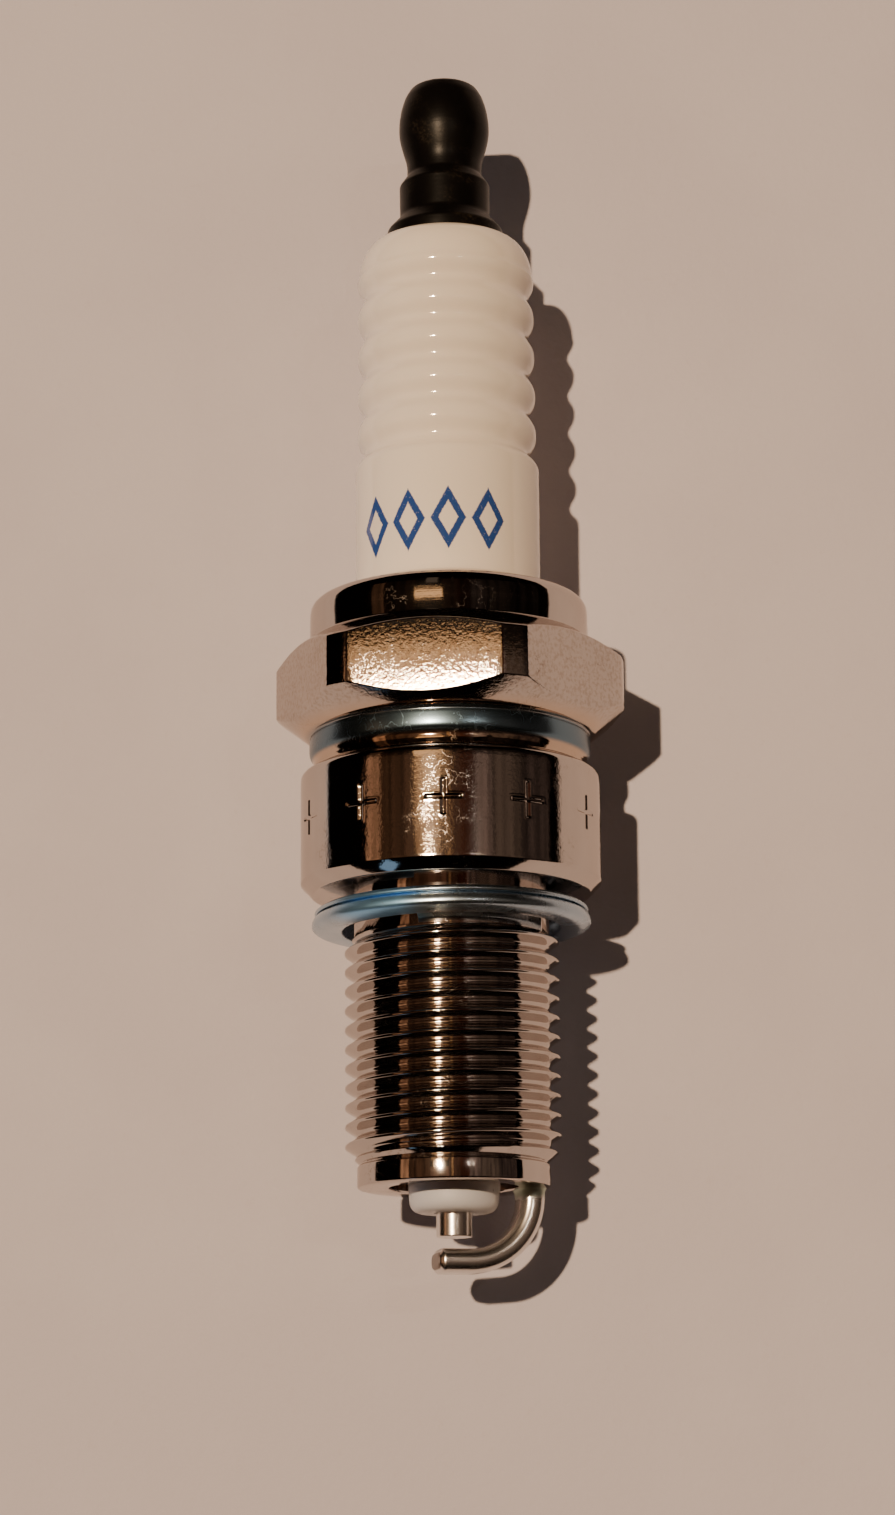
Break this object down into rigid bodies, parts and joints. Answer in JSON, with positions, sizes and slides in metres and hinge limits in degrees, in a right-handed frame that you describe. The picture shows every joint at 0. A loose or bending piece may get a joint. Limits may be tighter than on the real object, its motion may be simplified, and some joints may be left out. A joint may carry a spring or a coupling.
{
  "type": "spark plug",
  "caption": "Spark plug with ribbed white ceramic insulator, nickel-plated hex shell, loose crush gasket, screw-on terminal nut and J-shaped ground strap.",
  "frame": {"origin": "on the plug's axis, level with the underside of the gasket, where the plug meets a cylinder head", "axes": "+Z along the axis towards the terminal nut; one hexagon flat faces -Y"},
  "size_m": [0.023, 0.0206, 0.0805],
  "materials": {
    "shell_nickel": "bright nickel plate",
    "glazed_ceramic": "glossy white glaze with a blue printed mark",
    "black_oxide_steel": "black oxide, satin",
    "plain_steel": "bare mild steel",
    "seal_glass": "dark copper-filled sealing glass",
    "electrode_nickel": "drawn nickel alloy, bright",
    "copper": "pure copper",
    "zinc_steel": "blue-passivated zinc plate",
    "talc": "pressed talc powder"
  },
  "bodies": {
    "plug": {"metal_shell": "shell_nickel", "insulator": "glazed_ceramic", "terminal_stud": "plain_steel", "glass_seal": "seal_glass", "center_electrode": "electrode_nickel", "copper_core": "copper", "upper_packing_ring": "plain_steel", "lower_packing_ring": "plain_steel", "talc_ring": "talc", "inner_seat_washer": "plain_steel", "ground_electrode": "electrode_nickel"},
    "terminal_nut": {"terminal_nut": "black_oxide_steel"},
    "gasket": {"gasket": "zinc_steel"}
  },
  "joints": [
    {"name": "terminal_nut_unscrew", "type": "slide", "parent": "plug", "child": "terminal_nut", "axis": [0, 0, 1], "range_m": [0, 0.0085]},
    {"name": "gasket_play", "type": "slide", "parent": "plug", "child": "gasket", "axis": [0, 0, 1], "range_m": [0, 0.0007]}
  ]
}
